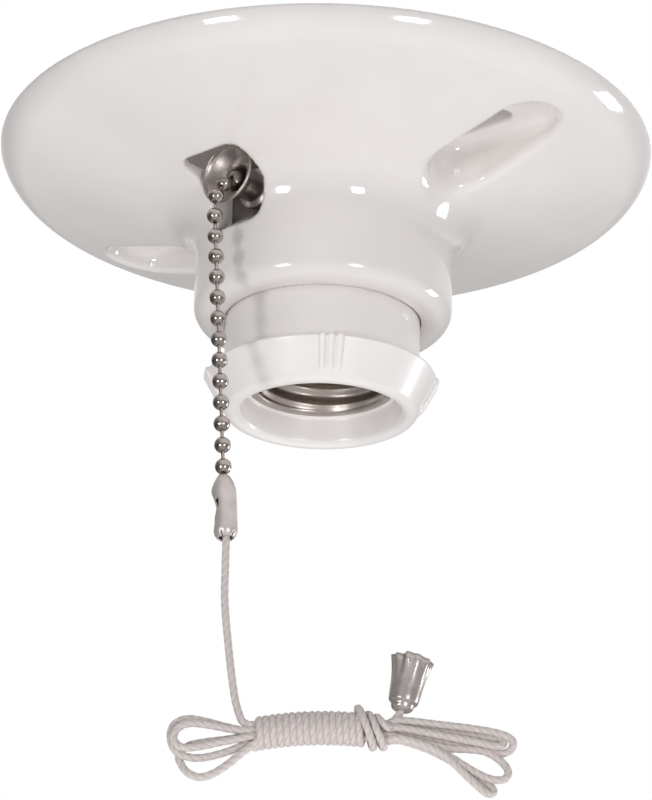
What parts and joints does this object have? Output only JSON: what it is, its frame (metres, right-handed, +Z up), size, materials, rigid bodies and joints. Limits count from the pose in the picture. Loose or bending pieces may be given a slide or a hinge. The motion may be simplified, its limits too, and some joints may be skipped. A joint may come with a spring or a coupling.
{
  "type": "ceiling lampholder",
  "caption": "Glazed porcelain ceiling lampholder with a medium screw socket, a bead pull chain and a tied-up pull cord, for a heat lamp.",
  "frame": {"origin": "centre of the two screw slots, on the ceiling plane and on the lamp axis", "axes": "+Z up into the ceiling, X along the line of the screw slots, the chain leaves towards -Y"},
  "size_m": [0.1334, 0.1334, 0.144],
  "materials": {
    "glazed_porcelain": "gloss",
    "white_plastic": "satin",
    "shell_metal": "satin",
    "brass": "satin",
    "steel": "satin",
    "dark_steel": "satin",
    "nickel": "gloss",
    "black_phenolic": "matt",
    "fibre": "matt",
    "cotton_cord": "matt"
  },
  "bodies": {
    "base": {"porcelain_body": "glazed_porcelain", "socket_body": "white_plastic", "screw_shell": "shell_metal", "contact_base": "brass", "contact_rivet": "brass", "socket_screws": "steel", "insulating_disc": "fibre", "retaining_ring": "steel", "mechanism_bracket": "dark_steel", "bell_mouth": "nickel", "bell_nut": "steel", "switch_block": "black_phenolic", "block_pins": "steel", "line_contact": "brass", "load_contact": "brass", "neutral_strap": "shell_metal", "line_screw": "brass", "neutral_screw": "steel", "return_spring": "steel"},
    "centre_leaf": {"contact_leaf": "brass"},
    "switch_rotor": {"rotor": "black_phenolic", "rotor_contact": "brass", "ratchet_wheel": "steel", "rotor_axle": "steel"},
    "lever": {"chain_lever": "dark_steel", "lever_bead": "nickel"},
    "inner_chain": {"inner_beads": "nickel", "inner_links": "nickel"},
    "throat": {"throat_bead": "nickel", "throat_link": "nickel"},
    "mouth": {"mouth_bead": "nickel", "mouth_link": "nickel"},
    "lip": {"lip_bead": "nickel"},
    "swing": {"swing_bead": "nickel", "lip_link": "nickel"},
    "chain": {"chain_beads": "nickel", "chain_links": "nickel", "swing_link": "nickel"},
    "coupling": {"chain_coupling": "nickel", "coupling_bead": "nickel", "coupling_link": "nickel"},
    "cord": {"cord_run": "cotton_cord", "cord_hank": "cotton_cord", "cord_tail": "cotton_cord", "cord_tip": "nickel"}
  },
  "joints": [
    {"name": "chain_pull", "type": "slide", "parent": "base", "child": "lip", "axis": [0, 0, -1], "range_m": [0, 0.0045], "stiffness_N_per_m": 300, "springref_m": -0.002},
    {"name": "chain_through_bell", "type": "slide", "parent": "base", "child": "inner_chain", "axis": [0, -1, 0], "range_m": [0, 0.0045]},
    {"name": "bead_round_throat", "type": "hinge", "parent": "base", "child": "throat", "pos_m": [0, -0.02285, -0.0253], "axis": [1, 0, 0], "range_deg": [0, 22.25]},
    {"name": "bead_round_lip", "type": "hinge", "parent": "base", "child": "mouth", "pos_m": [0, -0.026, -0.02319], "axis": [1, 0, 0], "range_deg": [0, 33.31]},
    {"name": "lever_swing", "type": "hinge", "parent": "base", "child": "lever", "pos_m": [0, -0.007, -0.0058], "axis": [-1, 0, 0], "range_deg": [0, 27.41]},
    {"name": "rotor_turn", "type": "hinge", "parent": "base", "child": "switch_rotor", "pos_m": [0, -0.007, -0.0058], "axis": [-1, 0, 0], "continuous": true},
    {"name": "leaf_press", "type": "hinge", "parent": "base", "child": "centre_leaf", "pos_m": [0, -0.0042, -0.0306], "axis": [1, 0, 0], "range_deg": [0, 10], "stiffness_Nm_per_rad": 0.02},
    {"name": "chain_sideways", "type": "hinge", "parent": "lip", "child": "swing", "pos_m": [0, -0.033, -0.0211], "axis": [0, 1, 0], "range_deg": [-30, 30]},
    {"name": "chain_outward", "type": "hinge", "parent": "swing", "child": "chain", "pos_m": [0, -0.0332, -0.0255], "axis": [-1, 0, 0], "range_deg": [-5, 45]},
    {"name": "coupling_swing", "type": "hinge", "parent": "chain", "child": "coupling", "pos_m": [0.00421, -0.0332, -0.07934], "axis": [0, 1, 0], "range_deg": [-30, 30]},
    {"name": "cord_swing", "type": "hinge", "parent": "coupling", "child": "cord", "pos_m": [0.00537, -0.0332, -0.09419], "axis": [-1, 0, 0], "range_deg": [-30, 30]}
  ],
  "couplings": [
    {"joint": "chain_through_bell", "follows": "chain_pull", "ratio": 1},
    {"joint": "bead_round_throat", "follows": "chain_pull", "rad_per_m": 86.297},
    {"joint": "bead_round_lip", "follows": "chain_pull", "rad_per_m": 129.19},
    {"joint": "lever_swing", "follows": "chain_pull", "rad_per_m": 106.27}
  ]
}
